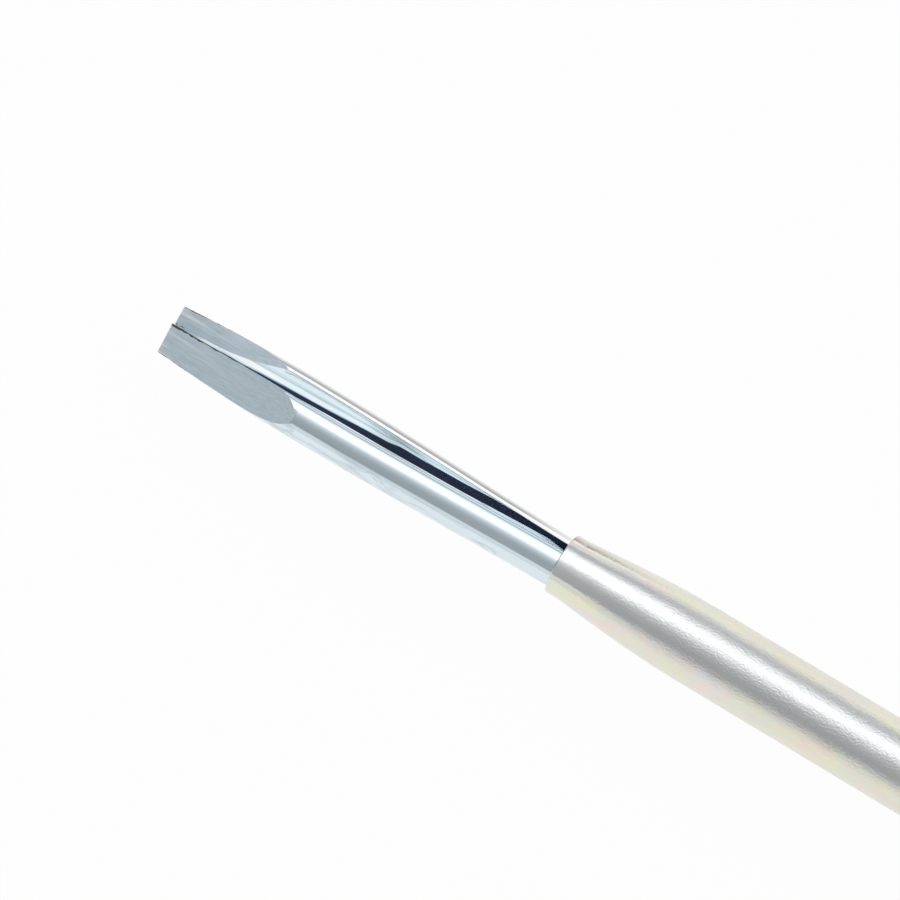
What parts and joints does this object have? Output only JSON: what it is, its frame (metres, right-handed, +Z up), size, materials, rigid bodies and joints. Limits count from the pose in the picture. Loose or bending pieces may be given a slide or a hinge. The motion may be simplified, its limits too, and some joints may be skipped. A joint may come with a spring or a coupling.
{
  "type": "screw-holding screwdriver",
  "caption": "Slotted screwdriver with a split spring blade that a sliding sleeve squeezes, so that the tip wedges in a screw's slot and holds it; fluted handle with flat lands.",
  "frame": {"origin": "centre of the tool's footprint, on the surface that it lies on", "axes": "+X along the tool towards the butt of the handle, blade tip at -X; +Z up from the handle flat that the tool rests on"},
  "size_m": [0.2284, 0.0284, 0.0252],
  "materials": {
    "blade_plating": "bright plated shanks, matt ground tip flats",
    "bright_steel": "turned steel, lightly brushed",
    "zinc_passivate": "satin zinc plate with a pale yellow and pink passivate",
    "spring_steel": "dark oiled spring steel",
    "ferrule_aluminium": "fine turned aluminium",
    "grip_plastic": "satin black moulded plastic",
    "ring_rubber": "matt black rubber",
    "handle_plastic": "glossy moulded plastic"
  },
  "bodies": {
    "handle": {"handle_grip": "handle_plastic", "handle_ferrule": "ferrule_aluminium", "friction_ring": "ring_rubber", "anchor_plug": "bright_steel", "anchor_pin": "bright_steel"},
    "upper_half": {"upper_blade_half": "blade_plating"},
    "lower_half": {"lower_blade_half": "blade_plating"},
    "sleeve_carrier": {"stop_ring": "spring_steel"},
    "sleeve": {"sleeve_tube": "zinc_passivate", "finger_grip": "grip_plastic", "grip_set_screw": "spring_steel"}
  },
  "joints": [
    {"name": "sleeve_slide", "type": "slide", "parent": "handle", "child": "sleeve_carrier", "axis": [-1, 0, 0], "range_m": [0, 0.008]},
    {"name": "sleeve_turn", "type": "hinge", "parent": "sleeve_carrier", "child": "sleeve", "pos_m": [0.00989, 0, 0.0126], "axis": [1, 0, 0], "continuous": true},
    {"name": "upper_half_close", "type": "hinge", "parent": "handle", "child": "upper_half", "pos_m": [0.02339, 0, 0.0126], "axis": [0, 0.4848, 0.8746], "range_deg": [0, 0.1292]},
    {"name": "lower_half_close", "type": "hinge", "parent": "handle", "child": "lower_half", "pos_m": [0.02339, 0, 0.0126], "axis": [0, -0.4848, -0.8746], "range_deg": [0, 0.1292]}
  ],
  "couplings": [
    {"joint": "upper_half_close", "follows": "sleeve_slide", "rad_per_m": 0.2816},
    {"joint": "lower_half_close", "follows": "sleeve_slide", "rad_per_m": 0.2816}
  ]
}
